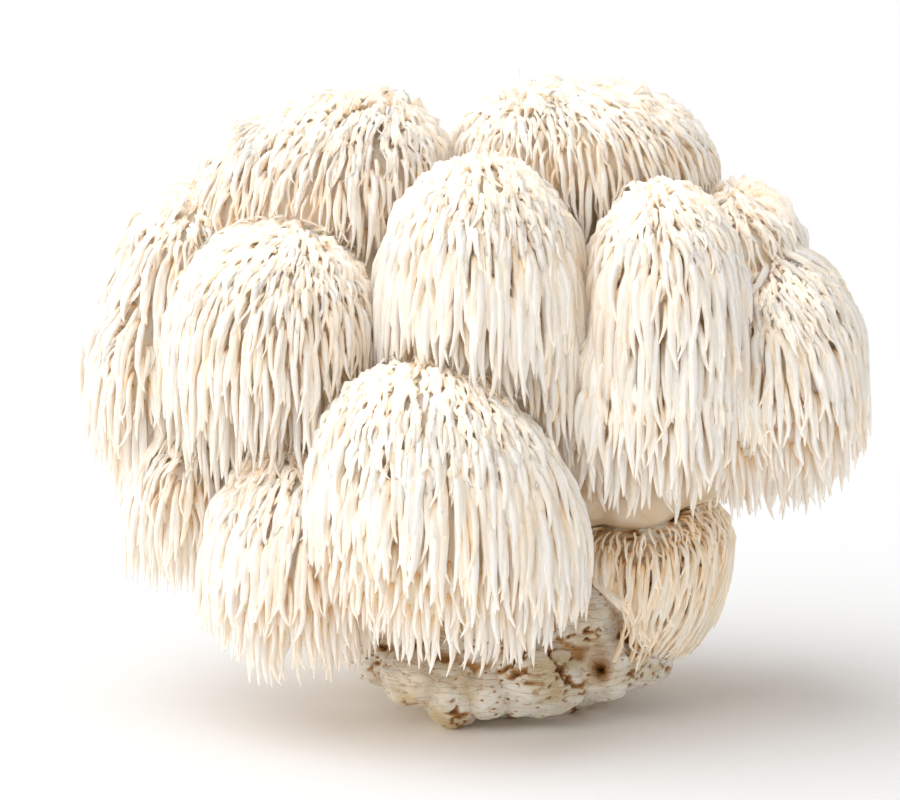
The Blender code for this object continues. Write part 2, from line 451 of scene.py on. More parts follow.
@dataclass
class SpineShape:
    """One spine, straight and upright, one long and one in radius: the shape that is repeated."""

    sides: int = 5
    stations: tuple[float, ...] = (0.0, 0.12, 0.28, 0.46, 0.65, 0.82, 0.94)
    girths: tuple[float, ...] = (0.66, 0.86, 1.0, 1.0, 0.82, 0.52, 0.26)

    def build(self) -> bpy.types.Mesh:
        """A closed taper from a cone cut into rings, with its own UV map.

        Returns:
            The mesh, root end at nothing and tip at one along Z.
        """
        bm = bmesh.new()
        bmesh.ops.create_cone(
            bm,
            cap_ends=True,
            segments=self.sides,
            radius1=1.0,
            radius2=0.0,
            depth=1.0,
        )
        bmesh.ops.remove_doubles(bm, verts=bm.verts, dist=1e-5)
        bmesh.ops.translate(bm, verts=bm.verts, vec=(0.0, 0.0, 0.5))
        for station in self.stations[1:]:
            cut(bm, station)
        for station, girth in zip(self.stations, self.girths):
            ring = [vertex for vertex in bm.verts if abs(vertex.co.z - station) < 1e-4]
            swell = girth / (1.0 - station)
            bmesh.ops.scale(bm, verts=ring, vec=(swell, swell, 1.0))
        self.unwrap(bm)
        for face in bm.faces:
            face.smooth = True
        mesh = bpy.data.meshes.new("spine_shape")
        bm.to_mesh(mesh)
        bm.free()
        return mesh

    def unwrap(self, bm: bmesh.types.BMesh) -> None:
        """Lays the spine out flat: round it across, along it upwards.

        Args:
            bm: the spine's bmesh.
        """
        layer = bm.loops.layers.uv.new("OFBake")
        for face in bm.faces:
            middle = face.calc_center_median()
            centre = math.atan2(middle.y, middle.x) / math.tau % 1.0
            for loop in face.loops:
                place = loop.vert.co
                around = math.atan2(place.y, place.x) / math.tau % 1.0
                if place.xy.length < 1e-5:
                    around = centre
                elif around - centre > 0.5:
                    around -= 1.0
                elif around - centre < -0.5:
                    around += 1.0
                loop[layer].uv = (around, place.z)


CROWN_SHAPE = SpineShape(4, (0.0, 0.22, 0.46, 0.7, 0.9), (0.85, 1.0, 1.0, 0.8, 0.42))


@dataclass
class Strands:
    """The lines of many spines.

    Attributes:
        lines: points along each line, in mm.
        heights: how far each point stands off the flesh, as a share of the coat's depth, which sets
            the spines' painted warm shade.
        ends: the step that each line ends at.
        sides: a level direction across each line.
        outward: the way out of the flesh at each root.
        crown: how much each belongs to the crown: one on top, nothing on the sides.
        lengths: how long each line is, in mm.
    """

    lines: np.ndarray
    heights: np.ndarray
    ends: np.ndarray
    sides: np.ndarray
    outward: np.ndarray
    crown: np.ndarray
    lengths: np.ndarray


@dataclass
class Thatch:
    """Grows the lines of a head's spines: out of the flesh, over, and straight down.

    Attributes:
        name: the head.
        habit: how its spines grow.
        rng: the coat's own random numbers.
        flesh: every form of the mushroom, by name.
        ladder: how many heights the shares of the roots are read at.
        jitter: how much roots stray from an even spread.
        underside: roots grow above this height on the head, from -1 to 1.
        steps: how many steps a line is grown in.
        crown_edge: how soon, down from the top, a spine stops belonging to the crown.
        lengths: the least and the most of its habit's length that a spine has.
        depths: the same for how far out in the coat it hangs.
        sunk: how many mm a root starts inside the flesh.
        start_out: how much a spine sets out away from the flesh.
        start_down: how much it sets out down the flesh.
        pull: how fast a spine on the side turns down.
        crown_pull: the same on the crown.
        lean_out: how much crown spines lean away from the mushroom's middle.
        comb: how much of that leaning goes on along the spine.
        middle: a head nearer than this to the mushroom's middle, in mm, leans less.
        ease: how much of its way out a spine is at each of its first steps.
        low_start: how far out in the coat a spine on the side starts.
        arch_top: where along a crown spine its arch is highest.
        arch_end: how high its tip is, as a share of the arch.
        clearance: how many mm a spine keeps from a head beside it.
        ride_height: the same over a head that it runs on over.
        landing: a spine this near to the top of another head ends there.
        crowding: how much wider than that a root right against another head may be.
        squeezed: the longest that a spine from such a root is.
        beside: spines rooted this near to a swelling of their own head run on over it.
        over: how near a head below has to be for a spine to run on down it.
        flat: how much a surface has to face upwards to count as a top.
        overhang: how much one may face down and still carry spines on.
        fringe_ragged: how ragged a climbing fringe is, against a level one.
        tip_gain: how soon along a crown spine it counts as hanging free.
        shortest: shorter spines are left out.
        lowest: no spine reaches lower above the cut.
    """

    name: str
    habit: Habit
    rng: np.random.Generator
    flesh: dict[str, Lobe]
    ladder: int = 81
    jitter: float = 0.28
    underside: float = -0.93
    steps: int = 18
    crown_edge: float = 1.3
    lengths: tuple[float, float] = (0.75, 1.2)
    depths: tuple[float, float] = (0.35, 1.0)
    sunk: float = 0.7
    start_out: float = 0.9
    start_down: float = 0.5
    pull: float = 0.42
    crown_pull: float = 0.3
    lean_out: float = 0.3
    comb: float = 0.25
    middle: float = 12.0
    ease: float = 0.4
    low_start: float = 0.25
    arch_top: float = 0.35
    arch_end: float = 0.3
    clearance: float = 1.0
    ride_height: float = 2.8
    landing: float = 2.4
    crowding: float = 0.4
    squeezed: float = 6.0
    beside: float = 4.5
    over: float = 5.0
    flat: float = 0.4
    overhang: float = 0.2
    fringe_ragged: float = 1.5
    tip_gain: float = 1.5
    shortest: float = 3.0
    lowest: float = 4.0

    def roots(self) -> tuple[np.ndarray, np.ndarray]:
        """Where the head's spines grow from.

        Returns:
            The roots on its flesh, and the way out at each.
        """
        own = self.flesh[self.name]
        ladder = np.linspace(1.0, -1.0, self.ladder)
        share = np.interp(ladder, *zip(*self.habit.shares))
        running = np.cumsum(share) - share[0]
        count = round(own.area() / self.habit.spacing**2 * share.mean())
        index = np.arange(count)
        height = np.interp((index + 0.5) / count, running / running[-1], ladder)
        turn = GOLDEN_ANGLE * index
        ring = np.sqrt(1.0 - height**2)
        directions = np.stack((ring * np.cos(turn), ring * np.sin(turn), height), axis=1)
        nudge = self.jitter * math.sqrt(4.0 * math.pi / count)
        directions = unit(directions + self.rng.uniform(-nudge, nudge, directions.shape))
        points, outward = own.surface(directions)
        open_air = directions[:, 2] > self.underside
        if self.name == "apron":
            edge = APRON_FROM + self.rng.normal(0.0, APRON_RAGGED, count)
            edge += APRON_SLANT * np.maximum(APRON_KNEE - points[:, 2], 0.0)
            open_air &= points[:, 0] > edge
        for name, other in self.flesh.items():
            if name not in (self.name, "foot"):
                open_air &= other.height(points)[0] > 0.0
        return points[open_air], outward[open_air]

    def combing(self) -> np.ndarray:
        """Which way the crown's spines lean: away from the middle of the whole mushroom."""
        own = self.flesh[self.name]
        away = np.array((own.x - CORE.x, own.y - CORE.y, 0.0))
        return away / max(float(np.linalg.norm(away)), self.middle) * self.lean_out

    def is_kin(self, other: str) -> bool:
        """Whether another head is a swelling of this one, or this one of it, by their names."""
        return other.startswith(self.name) or self.name.startswith(other)

    def runs_over(self, other: str, near: np.ndarray) -> np.ndarray:
        """Which spines run on over another form.

        Args:
            other: the form's name.
            near: true for each spine that is rooted near it.

        Returns:
            True for each spine that does.
        """
        carriers = ("foot", "apron") if self.habit.cling else RUN_ON
        return near | (other in carriers)

    def fringe_ends(self, point: np.ndarray, slack: np.ndarray) -> np.ndarray:
        """Which spines reach the end of a fringe that climbs, or the lowest height of all.

        Args:
            point: where each spine has got to.
            slack: how much lower or higher than the even line each may end, in mm.

        Returns:
            True for each spine that does.
        """
        ended = point[:, 2] < self.lowest
        if self.name in CLIMBS:
            start, level, slope = CLIMBS[self.name]
            edge = level + slope * (point[:, 0] - start) - self.fringe_ragged * slack
            ended |= (point[:, 0] > start) & (point[:, 2] < edge)
        return ended

    def grow(self) -> Strands:
        """Grows every spine of the head.

        Returns:
            Their lines.
        """
        habit = self.habit
        own = self.flesh[self.name]
        head = HEADS.get(self.name, APRON)
        roots, outward = self.roots()
        count = len(roots)
        crown = np.clip(outward[:, 2] * self.crown_edge, 0.0, 1.0) ** self.crown_edge
        length = habit.length + (habit.crown_length - habit.length) * crown
        length *= self.rng.uniform(*self.lengths, count)
        layer = habit.stand_off + (habit.crown_stand_off - habit.stand_off) * crown
        stand_off = layer * self.rng.uniform(*self.depths, count)
        slack = self.rng.uniform(-RAGGED_FRINGE, HANG_LOW.get(self.name, EVEN_FRINGE), count)
        # Passed over, but the spines as they stand hang on the order of the draws.
        self.rng.random(count)
        downhill = DOWN - outward * dot(DOWN[None, :], outward)
        own_way = habit.stray + (habit.crown_stray - habit.stray) * crown
        stray = self.rng.normal(0.0, 1.0, (count, 3)) * own_way[:, None]
        combed = self.combing() * crown[:, None]
        heading = unit(outward * self.start_out + downhill * self.start_down + stray + combed)
        weight = (self.pull + (self.crown_pull - self.pull) * crown)[:, None]
        fall = (DOWN + np.array(habit.sweep)) * weight + combed * self.comb
        lines = np.empty((count, self.steps + 1, 3))
        heights = np.zeros((count, self.steps + 1))
        lines[:, 0] = roots - outward * self.sunk
        ends = np.full(count, float(self.steps))
        over = {}
        for name, form in self.flesh.items():
            kin = self.is_kin(name)
            near = form.height(roots)[0] < (self.beside if kin else self.landing + self.crowding)
            if not kin:
                length = np.where(near, np.minimum(length, self.squeezed), length)
            if name != self.name:
                over[name] = self.runs_over(name, near)
        stride = (length / self.steps)[:, None]
        for step in range(1, self.steps + 1):
            share = step / self.steps
            heading = unit(heading + fall)
            before = lines[:, step - 1]
            point = before + heading * stride
            height, away = own.height(point)
            slope = self.low_start + (1.0 - self.low_start) * share
            past = max(share - self.arch_top, 0.0) / (1.0 - self.arch_top)
            arch = min(share / self.arch_top, 1.0) * (1.0 - (1.0 - self.arch_end) * past)
            wanted = stand_off * (slope + (arch - slope) * crown) * min(self.ease * step, 1.0)
            lift = np.maximum(wanted - height, 0.0) - habit.cling * np.maximum(height - wanted, 0.0)
            point += away * lift[:, None]
            outside = (head.height(point)[0] > slack) & (point[:, 2] < head.z)
            stopped = self.fringe_ends(point, slack)
            carried = np.full(count, bool(habit.cling))
            for name, runs_on in over.items():
                gap, clear = self.flesh[name].height(point)
                top = clear[:, 2] > self.flat
                lands = (gap < self.landing) & top & ~runs_on
                stopped |= lands
                carried |= runs_on & (gap < self.over) & (clear[:, 2] > -self.overhang)
                room = np.where(top & runs_on, self.ride_height, self.clearance)
                push = np.where(lands, 0.0, np.maximum(room - gap, 0.0))
                point += clear * np.minimum(push, stride[:, 0])[:, None]
            stopped |= outside & ~carried
            ends = np.where(stopped & (ends > step), float(step), ends)
            heading = unit(heading + unit(point - before))
            lines[:, step] = point
            # The share of the coat's depth sets the painted warm shade; crown spines count as
            # hanging free towards their tips, so they get none there.
            tip_share = crown * min(self.tip_gain * share, 1.0)
            heights[:, step] = np.maximum(own.height(point)[0] / layer, tip_share)
        length = length * ends / self.steps
        level = np.cross(DOWN, outward)
        level += self.rng.normal(0.0, 0.05, level.shape) * np.array((1.0, 1.0, 0.0))
        grown = (lines, heights, ends, unit(level), outward, crown, length)
        return Strands(*(values[length > self.shortest] for values in grown))


@dataclass
class SpineCoat:
    """The spines of a few neighbouring heads, as one mesh.

    Attributes:
        name: the mesh's name.
        habits: how the spines of each of its heads grow.
        flesh: every form of the mushroom, by name.
        seed: starts its random numbers.
        shape: the spine that is repeated.
        girths: the least and the most of its habit's thickness that a spine has.
        neighbours: tips that are rooted within so many mm draw together the same way.
        flatten: how much less they do so in and out of the flesh.
        gather: how late along a spine that starts.
        turns: the fewest and the most waves along a spine.
        crown_turns: how many more there are on the crown.
        swings: the least and the most of its habit's wave that a spine has.
        hook: how far the end of a spine turns aside, in mm.
        hook_from: where along it that starts.
        hook_bend: how late it is strongest.
        cell_tall: how many times as tall as wide a spine's UV cell is.
        margin: how much of the cell is left free at each edge.
        seam: how far the spine's UV map runs past its sides.
    """

    name: str
    habits: dict[str, Habit]
    flesh: dict[str, Lobe]
    seed: int
    shape: SpineShape = field(default_factory=SpineShape)
    girths: tuple[float, float] = (0.75, 1.1)
    neighbours: float = 6.0
    flatten: float = 0.7
    gather: float = 1.6
    turns: tuple[float, float] = (0.5, 1.1)
    crown_turns: float = 0.5
    swings: tuple[float, float] = (0.4, 1.4)
    hook: float = 4.8
    hook_from: float = 0.65
    hook_bend: float = 1.5
    cell_tall: float = 2.0
    margin: float = 0.12
    seam: float = 0.17

    def build(self) -> bpy.types.Object:
        """Grows the spines and sets a copy of the spine shape along each line.

        Returns:
            The coat's object.
        """
        rng = np.random.default_rng(self.seed)
        grown = {
            name: Thatch(name, habit, rng, self.flesh).grow()
            for name, habit in self.habits.items()
        }
        template = self.shape.build()
        made = self.repeat(template, sum(len(strands.ends) for strands in grown.values()))
        log.info("%s: %s spines", self.name, [len(strands.ends) for strands in grown.values()])
        places, along, height, tint = [], [], [], []
        for name, strands in grown.items():
            placed, facts = self.lay(template, strands, self.habits[name], rng)
            places.append(placed)
            along.append(facts[0])
            height.append(facts[1])
            tint.append(facts[2])
        made.data.vertices.foreach_set("co", np.concatenate(places).ravel() * MM)
        for label, parts in (("along", along), ("height", height), ("tint", tint)):
            values = made.data.attributes.new(label, "FLOAT", "POINT")
            values.data.foreach_set("value", np.concatenate(parts).ravel())
        self.spread_cells(made.data, template)
        made.data.update()
        return made

    def repeat(self, template: bpy.types.Mesh, count: int) -> bpy.types.Object:
        """As many copies of the spine shape as there are spines, one after another.

        Args:
            template: the spine shape.
            count: how many spines there are.

        Returns:
            An object that holds all the copies.
        """
        made = stand(self.name, template)
        array = made.modifiers.new("repeat", "ARRAY")
        array.count = count
        array.use_relative_offset = False
        array.use_constant_offset = True
        array.constant_offset_displace = (0.0, 0.0, 0.0)
        array.use_merge_vertices = False
        settle(made)
        return made

    def lay(
        self,
        template: bpy.types.Mesh,
        strands: Strands,
        habit: Habit,
        rng: np.random.Generator,
    ) -> tuple[np.ndarray, tuple[np.ndarray, np.ndarray, np.ndarray]]:
        """Bends a copy of the spine shape along each line.

        Args:
            template: the spine shape.
            strands: the lines.
            habit: how they grew.
            rng: the coat's own random numbers.

        Returns:
            The copies' points in mm, and for each point how far along its spine it is, how far
            out in the coat, and its spine's tint.
        """
        local = np.empty(len(template.vertices) * 3)
        template.vertices.foreach_get("co", local)
        local = local.reshape(-1, 3)
        levels, ring = np.unique(np.round(local[:, 2], 4), return_inverse=True)
        count = len(strands.ends)
        rows = np.arange(count)[:, None]
        place = levels[None, :] * strands.ends[:, None]
        low = np.minimum(place.astype(int), strands.lines.shape[1] - 2)
        part = (place - low)[..., None]
        line = strands.lines[rows, low] * (1.0 - part) + strands.lines[rows, low + 1] * part
        part = part[..., 0]
        height = strands.heights[rows, low] * (1.0 - part) + strands.heights[rows, low + 1] * part
        line += self.sway(levels, strands, habit, rng)
        tangent = unit(np.gradient(line, axis=1))
        side = strands.sides[:, None, :]
        side = unit(side - tangent * dot(side, tangent))
        front = np.cross(tangent, side)
        girth = habit.thickness + (habit.crown_thickness - habit.thickness) * strands.crown
        girth = girth * np.clip(strands.lengths / habit.full_length, habit.thinnest, 1.0)
        radius = (girth * rng.uniform(*self.girths, count) / 2.0)[:, None, None]
        across = local[None, :, 0:1] * side[:, ring] + local[None, :, 1:2] * front[:, ring]
        places = line[:, ring] + across * radius
        along = np.broadcast_to(levels[ring], (count, len(local)))
        tint = np.broadcast_to(rng.uniform(0.0, 1.0, (count, 1)), (count, len(local)))
        return places.reshape(-1, 3), (along.ravel(), height[:, ring].ravel(), tint.ravel())

    def sway(
        self,
        levels: np.ndarray,
        strands: Strands,
        habit: Habit,
        rng: np.random.Generator,
    ) -> np.ndarray:
        """How the spines wind, and draw together towards their tips.

        Args:
            levels: how far along a spine each of its points is.
            strands: the lines that they came from.
            habit: how they grew.
            rng: the coat's own random numbers.

        Returns:
            How far each point moves, in mm.
        """
        count = len(strands.ends)
        outward = strands.outward
        crown = strands.crown[:, None]
        reach = levels[None, :]
        shared = wander(strands.lines[:, 0], self.neighbours, float(self.seed))
        shared -= outward * dot(shared, outward) * self.flatten
        moved = shared[:, None, :] * (reach**self.gather)[..., None] * habit.clump
        size = habit.wave + (habit.curl - habit.wave) * strands.crown
        for axis in (strands.sides, outward * crown):
            phase = rng.uniform(0.0, math.tau, (count, 1))
            turns = rng.uniform(*self.turns, (count, 1)) + self.crown_turns * crown
            wave = np.sin(phase + reach * turns * math.tau) - np.sin(phase)
            swing = size * rng.uniform(*self.swings, count)
            moved += axis[:, None, :] * (wave * swing[:, None] * np.sqrt(reach))[..., None]
        bend = np.clip(reach - self.hook_from, 0.0, 1.0) ** self.hook_bend
        hook = rng.normal(0.0, self.hook, (count, 1)) * bend
        return moved + strands.sides[:, None, :] * hook[..., None]

    def spread_cells(self, mesh: bpy.types.Mesh, template: bpy.types.Mesh) -> None:
        """Gives every spine its own cell of the UV square.

        Args:
            mesh: the coat's mesh.
            template: the spine shape.
        """
        each = len(template.loops)
        count = len(mesh.loops) // each
        across = math.ceil(math.sqrt(count * self.cell_tall))
        down = math.ceil(count / across)
        uv = np.empty(len(mesh.loops) * 2)
        layer = mesh.uv_layers["OFBake"]
        layer.data.foreach_get("uv", uv)
        uv = uv.reshape(count, each, 2)
        cell = np.arange(count)
        corner = np.stack((cell % across, cell // across), axis=1)[:, None, :]
        inside = (uv + np.array((self.seam, 0.0))) / np.array((1.0 + 2.0 * self.seam, 1.0))
        inset = self.margin + (1.0 - 2.0 * self.margin) * inside
        uv = (corner + inset) / np.array((across, down))
        layer.data.foreach_set("uv", uv.ravel())


def to_linear(code: str) -> tuple[float, float, float, float]:
    """Turns an sRGB colour code into linear colour.

    Args:
        code: six hexadecimal digits.

    Returns:
        Red, green, blue and one for opaque.
    """
    parts = [int(code[start : start + 2], 16) / 255.0 for start in (0, 2, 4)]
    red, green, blue = (
        part / 12.92 if part <= 0.04045 else ((part + 0.055) / 1.055) ** 2.4 for part in parts
    )
    return red, green, blue, 1.0


def fill(ramp: bpy.types.ColorRamp, stops: dict[float, str]) -> None:
    """Gives a colour ramp its stops.

    Args:
        ramp: the ramp.
        stops: colour codes by place.
    """
    places = sorted(stops)
    while len(ramp.elements) < len(places):
        ramp.elements.new(0.5)
    for element, place in zip(ramp.elements, places):
        element.position = place
        element.color = to_linear(stops[place])


class Kind(Enum):
    """The kinds of node that the finishes are made of."""

    PLACE = "ShaderNodeTexCoord"
    MARK = "ShaderNodeAttribute"
    STRETCH = "ShaderNodeMapping"
    NOISE = "ShaderNodeTexNoise"
    CELLS = "ShaderNodeTexVoronoi"
    RAMP = "ShaderNodeValToRGB"
    MIX = "ShaderNodeMix"
    BUMP = "ShaderNodeBump"


MULTIPLY = {"data_type": "RGBA", "blend_type": "MULTIPLY"}
MIXED = 2


@dataclass
class Graph:
    """A material's node graph."""

    tree: bpy.types.NodeTree

    def add(self, kind: Kind, settings: dict | None = None, **links: object) -> bpy.types.Node:
        """Adds a node, sets it up and feeds its inputs.

        Args:
            kind: the kind of node.
            settings: attributes of the node, or stops for a colour ramp.
            links: its inputs, as for feed.

        Returns:
            The node.
        """
        node = self.tree.nodes.new(kind.value)
        for name, value in (settings or {}).items():
            if name == "stops":
                fill(node.color_ramp, value)
            else:
                setattr(node, name, value)
        self.feed(node, **links)
        return node

    def feed(self, node: bpy.types.Node, **links: object) -> None:
        """Feeds a node's inputs.

        Args:
            node: the node.
            links: inputs by name with _ for a space, or by number after an i: a socket is
                linked, a value is set.
        """
        for name, value in links.items():
            key = int(name[1:]) if name[0] == "i" and name[1:].isdigit() else name.replace("_", " ")
            socket = node.inputs[key]
            if isinstance(value, bpy.types.NodeSocket):
                self.tree.links.new(value, socket)
            else:
                socket.default_value = value


def new_material(name: str) -> tuple[bpy.types.Material, Graph, bpy.types.Node]:
    """An empty material.

    Args:
        name: its name.

    Returns:
        The material, its graph and its shader.
    """
    material = bpy.data.materials.new(name)
    material.use_nodes = True
    graph = Graph(material.node_tree)
    return material, graph, material.node_tree.nodes["Principled BSDF"]


# Spines are wet, thin fungal tissue, grown in one pull downwards. To the eye they are creamy and
# softly lit from inside, with a mild sheen and fine fibres along them. Deep in the coat they are
# painted warm tan, as shade for the gaps and for the light glowing through the tissue into them.
@dataclass(frozen=True)
class SpineFinish:
    """Spines: creamy white where they hang free, with painted warm shade down in the coat.

    Attributes:
        name: the material's name.
        deep: the colour at the flesh, the darkest of the painted shade.
        inner: a fifth of the way out, lighter painted shade.
        outer: two fifths of the way out, the last of the painted shade.
        free: where a spine hangs free.
        glow: how much of the light goes in.
        glow_reach: how far it goes, in mm.
        fibre: how wide and how long a fibre is, in mm. It is drawn coarser than it is, to show.
        relief: how far it stands up, in mm.
    """

    name: str
    deep: str = "F4D4A6"
    inner: str = "FBEBD4"
    outer: str = "FEF7ED"
    free: str = "FFFDFA"
    glow: float = 0.65
    glow_reach: float = 1.0
    fibre: tuple[float, float, float] = (0.714, 0.714, 6.25)
    relief: float = 0.2

    def build(self) -> bpy.types.Material:
        """Makes the material.

        Returns:
            The material.
        """
        material, graph, shader = new_material(self.name)
        height = graph.add(Kind.MARK, {"attribute_name": "height"}).outputs["Fac"]
        tint = graph.add(Kind.MARK, {"attribute_name": "tint"}).outputs["Fac"]
        place = graph.add(Kind.PLACE).outputs["Object"]
        scale = tuple(per_metre(size) for size in self.fibre)
        drawn = graph.add(Kind.STRETCH, Vector=place, Scale=scale).outputs["Vector"]
        streak = graph.add(Kind.NOISE, Vector=drawn, Scale=1.0, Detail=2.0).outputs["Fac"]
        # Painted warm shade: tan at the flesh, fading by how far out in the coat each point lies to
        # the spines' own creamy white where they hang free.
        layers = {0.0: self.deep, 0.18: self.inner, 0.4: self.outer, 0.62: self.free}
        tints = {0.0: "FBF3E6", 0.5: "FFFFFF", 1.0: "FFFCF6"}
        streaks = {0.3: "F8F1E6", 0.6: "FFFFFF"}
        depth = graph.add(Kind.RAMP, {"stops": layers}, Fac=height).outputs["Color"]
        shade = graph.add(Kind.RAMP, {"stops": tints}, Fac=tint).outputs["Color"]
        fibre = graph.add(Kind.RAMP, {"stops": streaks}, Fac=streak).outputs["Color"]
        shaded = graph.add(Kind.MIX, MULTIPLY, i0=1.0, i6=depth, i7=shade).outputs[MIXED]
        colour = graph.add(Kind.MIX, MULTIPLY, i0=0.7, i6=shaded, i7=fibre).outputs[MIXED]
        bump = graph.add(Kind.BUMP, Height=streak, Distance=self.relief * MM, Strength=0.5)
        shader.subsurface_method = "BURLEY"
        graph.feed(
            shader,
            Base_Color=colour,
            Normal=bump.outputs["Normal"],
            Roughness=0.42,
            Subsurface_Weight=self.glow,
            Subsurface_Radius=(1.0, 0.9, 0.78),
            Subsurface_Scale=self.glow_reach * MM,
        )
        return material


# Bare flesh is firm, damp fungal tissue under a skin as fine as a button mushroom's. To the eye it
# is dull and even, lets light in a little deeper than the spines do, and has soft tan blotches.
@dataclass(frozen=True)
class FleshFinish:
    """Bare flesh: smooth and softly blotched. Under the coat its warm tint is painted shade.

    Attributes:
        name: the material's name.
        pale: its colour.
        dark: the colour of its blotches.
        blotch: how wide, deep and tall one is, in mm.
        relief: how far the surface between them stands up, in mm.
    """

    name: str
    pale: str = "FFF8EE"
    dark: str = "FBE8CC"
    blotch: tuple[float, float, float] = (1.43, 1.43, 14.3)
    relief: float = 1.2

    def build(self) -> bpy.types.Material:
        """Makes the material.

        Returns:
            The material.
        """
        material, graph, shader = new_material(self.name)
        place = graph.add(Kind.PLACE).outputs["Object"]
        scale = tuple(per_metre(size) for size in self.blotch)
        drawn = graph.add(Kind.STRETCH, Vector=place, Scale=scale).outputs["Vector"]
        blotch = graph.add(Kind.NOISE, Vector=drawn, Scale=1.0, Detail=3.0).outputs["Fac"]
        tones = {0.35: self.dark, 0.6: self.pale}
        colour = graph.add(Kind.RAMP, {"stops": tones}, Fac=blotch).outputs["Color"]
        bump = graph.add(Kind.BUMP, Height=blotch, Distance=self.relief * MM, Strength=0.6)
        graph.feed(
            shader,
            Base_Color=colour,
            Normal=bump.outputs["Normal"],
            Roughness=0.55,
            Subsurface_Weight=0.4,
            Subsurface_Radius=(1.0, 0.55, 0.25),
            Subsurface_Scale=2.0 * MM,
        )
        return material


# The foot is the same tissue, aged and dried where it pressed through bark. To the eye it is a
# dull cream rind, worn tan in patches, with fine creases that run across, pores, and brown stain in
# its cracks and pits. The tan in the clefts between lumps and the black inside the hole are painted
# shade.
@dataclass(frozen=True)
class FootFinish:
    """The foot's old skin: cream, yellow to brown in its pits and cracks.

    Attributes:
        name: the material's name.
        skin: its colour.
        worn: the colour of its worn patches.
        ochre: the first stain in creases and pores, and the painted shade in hollows.
        brown: the stain in pits and cracks.
        black: the colour inside the hole, which is painted shade.
        patch: how wide a worn patch is, in mm.
        creased: how wide a creased patch is.
        crease: how long, deep and far apart creases are.
        pore: how far apart pores are each way.
        relief: how deep a crease is.
    """

    name: str
    skin: str = "F6F1E6"
    worn: str = "DCC8A0"
    ochre: str = "C8995C"
    brown: str = "7A5028"
    black: str = "20120A"
    patch: float = 9.09
    creased: float = 5.26
    crease: tuple[float, float, float] = (5.88, 5.88, 1.316)
    pore: tuple[float, float, float] = (1.92, 1.92, 1.25)
    relief: float = 0.3

    def build(self) -> bpy.types.Material:
        """Makes the material.

        Returns:
            The material.
        """
        material, graph, shader = new_material(self.name)
        white = "FFFFFF"
        pit = graph.add(Kind.MARK, {"attribute_name": "pit"}).outputs["Fac"]
        place = graph.add(Kind.PLACE).outputs["Object"]
        patch = graph.add(
            Kind.NOISE, Vector=place, Scale=per_metre(self.patch), Detail=4.0
        ).outputs["Fac"]
        where = graph.add(
            Kind.NOISE, Vector=place, Scale=per_metre(self.creased), Detail=2.0
        ).outputs["Fac"]
        scale = tuple(per_metre(size) for size in self.crease)
        level = graph.add(Kind.STRETCH, Vector=place, Scale=scale).outputs["Vector"]
        crease = graph.add(
            Kind.NOISE, Vector=level, Scale=1.0, Detail=2.0, Distortion=0.2
        ).outputs["Fac"]
        scale = tuple(per_metre(size) for size in self.pore)
        spread = graph.add(Kind.STRETCH, Vector=place, Scale=scale).outputs["Vector"]
        pore = graph.add(Kind.CELLS, Vector=spread, Scale=1.0).outputs["Distance"]
        # The pit mark stains cracks and pits, and paints shade into the clefts and black into the
        # hole.
        base, lines, dots, creased, pored, stain_and_shade, groove = (
            graph.add(Kind.RAMP, {"stops": stops}, Fac=driver).outputs["Color"]
            for driver, stops in (
                (patch, {0.36: self.worn, 0.56: self.skin}),
                (crease, {0.475: white, 0.5: self.ochre, 0.525: white}),
                (pore, {0.06: self.brown, 0.15: self.ochre, 0.3: white}),
                (where, {0.46: "000000", 0.6: "D0D0D0"}),
                (patch, {0.46: "000000", 0.6: white}),
                (pit, {0.12: white, 0.36: self.ochre, 0.66: self.brown, 0.96: self.black}),
                (crease, {0.44: white, 0.5: "000000", 0.56: white}),
            )
        )
        colour = base
        for share, marks in ((creased, lines), (pored, dots), (1.0, stain_and_shade)):
            mixed = graph.add(Kind.MIX, MULTIPLY, i0=share, i6=colour, i7=marks)
            colour = mixed.outputs[MIXED]
        bump = graph.add(Kind.BUMP, Height=groove, Distance=self.relief * MM, Strength=0.6)
        graph.feed(
            shader,
            Base_Color=colour,
            Normal=bump.outputs["Normal"],
            Roughness=0.5,
            Subsurface_Weight=0.25,
            Subsurface_Radius=(1.0, 0.6, 0.3),
            Subsurface_Scale=1.0 * MM,
        )
        return material


@dataclass
class Flesh:
    """Rounded forms fused into one skin."""

    name: str
    lobes: tuple[Lobe, ...]
    grid: float = 2.3
    segments: int = 48
    rings: int = 28

    def build(self) -> bpy.types.Object:
        """Fuses the forms.

        Returns:
            The skin's object.
        """
        bm = bmesh.new()
        for lobe in self.lobes:
            fresh = bmesh.ops.create_uvsphere(
                bm, u_segments=self.segments, v_segments=self.rings, radius=1.0
            )["verts"]
            directions = unit(np.array([vertex.co for vertex in fresh]))
            for vertex, place in zip(fresh, lobe.surface(directions)[0]):
                vertex.co = place * MM
        mesh = bpy.data.meshes.new(self.name)
        bm.to_mesh(mesh)
        bm.free()
        made = stand(self.name, mesh)
        fused = made.modifiers.new("fuse", "REMESH")
        fused.mode = "VOXEL"
        fused.voxel_size = self.grid * MM
        fused.use_smooth_shade = True
        settle(made)
        return made


